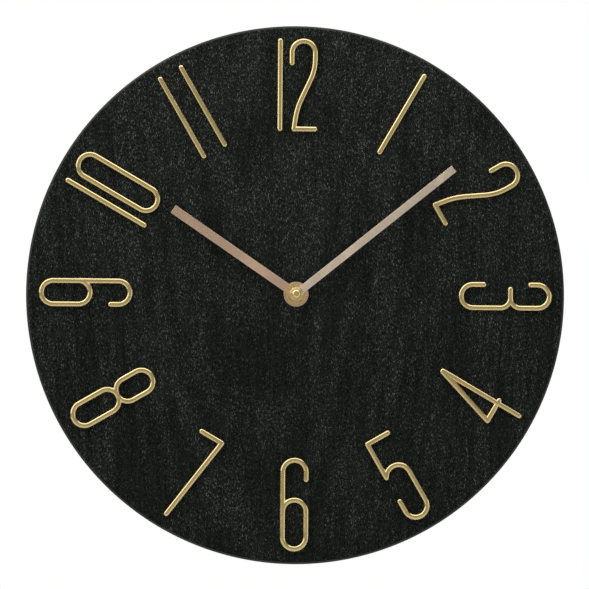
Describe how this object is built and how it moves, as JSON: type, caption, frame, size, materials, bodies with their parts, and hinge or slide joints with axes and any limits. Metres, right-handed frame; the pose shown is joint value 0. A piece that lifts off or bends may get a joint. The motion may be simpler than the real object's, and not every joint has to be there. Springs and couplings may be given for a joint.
{
  "type": "wall clock",
  "caption": "Round battery wall clock: a black wood-grain board with raised gold numerals, two straight hands and a quartz movement in a pocket in the back.",
  "frame": {"origin": "on the hands' axis, in the plane of the wall, which the movement's back cover and the wall pads meet", "axes": "the dial faces -Y, +Z towards 12, +X towards 3; the wall is the plane Y = 0 and +Y points into it"},
  "size_m": [0.3, 0.0292, 0.3],
  "materials": {
    "black_board": "matt black painted MDF",
    "grain_film": "embossed black wood-grain film, semi-matt",
    "gold_plate": "satin pale-gold plating",
    "rose_gold": "satin rose-gold anodised sheet",
    "brass": "turned brass",
    "steel": "rolled and zinc-plated steel",
    "black_plastic": "fine matt moulded plastic",
    "white_plastic": "moulded acetal",
    "black_rubber": "moulded rubber",
    "copper_wire": "enamelled copper winding",
    "circuit_green": "glass-fibre circuit board",
    "magnet": "sintered magnet",
    "battery_wrap": "printed steel battery jacket, no marks"
  },
  "bodies": {
    "clock_body": {"battery_contact_negative": "steel", "battery_contact_positive": "steel", "bush_nut": "brass", "bush_washer": "brass", "chip": "black_plastic", "circuit_board": "circuit_green", "coil_bobbin": "white_plastic", "coil_core": "steel", "coil_winding": "copper_wire", "dial_board": "black_board", "grain_film": "grain_film", "hanger_plate": "steel", "hanger_screws": "steel", "middle_plate": "white_plastic", "movement_back_cover": "black_plastic", "movement_front_case": "black_plastic", "numeral_1": "gold_plate", "numeral_10": "gold_plate", "numeral_11": "gold_plate", "numeral_12": "gold_plate", "numeral_2": "gold_plate", "numeral_3": "gold_plate", "numeral_4": "gold_plate", "numeral_5": "gold_plate", "numeral_6": "gold_plate", "numeral_7": "gold_plate", "numeral_8": "gold_plate", "numeral_9": "gold_plate", "quartz_crystal": "steel", "rubber_gasket": "black_rubber", "stator": "steel", "threaded_bush": "brass", "wall_pads": "black_rubber"},
    "hour_group": {"hour_hand": "rose_gold", "hour_wheel": "white_plastic"},
    "minute_group": {"minute_hand": "rose_gold", "hand_nut": "brass", "minute_arbor": "steel", "centre_wheel": "white_plastic"},
    "reduction": {"reduction_wheel": "white_plastic"},
    "knob": {"setting_knob": "white_plastic"},
    "third": {"third_wheel": "white_plastic"},
    "second": {"second_wheel": "white_plastic"},
    "intermediate": {"intermediate_wheel": "white_plastic"},
    "rotor": {"rotor_pinion": "white_plastic", "rotor_magnet": "magnet"},
    "battery_cell": {"battery": "battery_wrap"}
  },
  "joints": [
    {"name": "minute_turn", "type": "hinge", "parent": "clock_body", "child": "minute_group", "pos_m": [0, -0.01, 0], "axis": [0, 1, 0], "continuous": true},
    {"name": "hour_turn", "type": "hinge", "parent": "clock_body", "child": "hour_group", "pos_m": [0, -0.01, 0], "axis": [0, 1, 0], "continuous": true},
    {"name": "reduction_turn", "type": "hinge", "parent": "clock_body", "child": "reduction", "pos_m": [0.00789, -0.01, -0.00287], "axis": [0, 1, 0], "continuous": true},
    {"name": "knob_turn", "type": "hinge", "parent": "clock_body", "child": "knob", "pos_m": [0.01579, -0.01, 0], "axis": [0, 1, 0], "continuous": true},
    {"name": "third_turn", "type": "hinge", "parent": "clock_body", "child": "third", "pos_m": [-0.00821, -0.01, 0.0022], "axis": [0, 1, 0], "continuous": true},
    {"name": "second_turn", "type": "hinge", "parent": "clock_body", "child": "second", "pos_m": [0, -0.01, 0], "axis": [0, 1, 0], "continuous": true},
    {"name": "intermediate_turn", "type": "hinge", "parent": "clock_body", "child": "intermediate", "pos_m": [0.00438, -0.01, 0.00758], "axis": [0, 1, 0], "continuous": true},
    {"name": "rotor_turn", "type": "hinge", "parent": "clock_body", "child": "rotor", "pos_m": [0.00945, -0.01, 0.00942], "axis": [0, 1, 0], "continuous": true},
    {"name": "battery_lift", "type": "slide", "parent": "clock_body", "child": "battery_cell", "axis": [0, 1, 0], "range_m": [0, 0.03]}
  ],
  "couplings": [
    {"joint": "hour_turn", "follows": "minute_turn", "ratio": 0.083333},
    {"joint": "reduction_turn", "follows": "minute_turn", "ratio": -0.33333},
    {"joint": "knob_turn", "follows": "minute_turn", "ratio": 1},
    {"joint": "third_turn", "follows": "minute_turn", "ratio": -8},
    {"joint": "second_turn", "follows": "minute_turn", "ratio": 60},
    {"joint": "intermediate_turn", "follows": "minute_turn", "ratio": -360},
    {"joint": "rotor_turn", "follows": "minute_turn", "ratio": 1800}
  ]
}
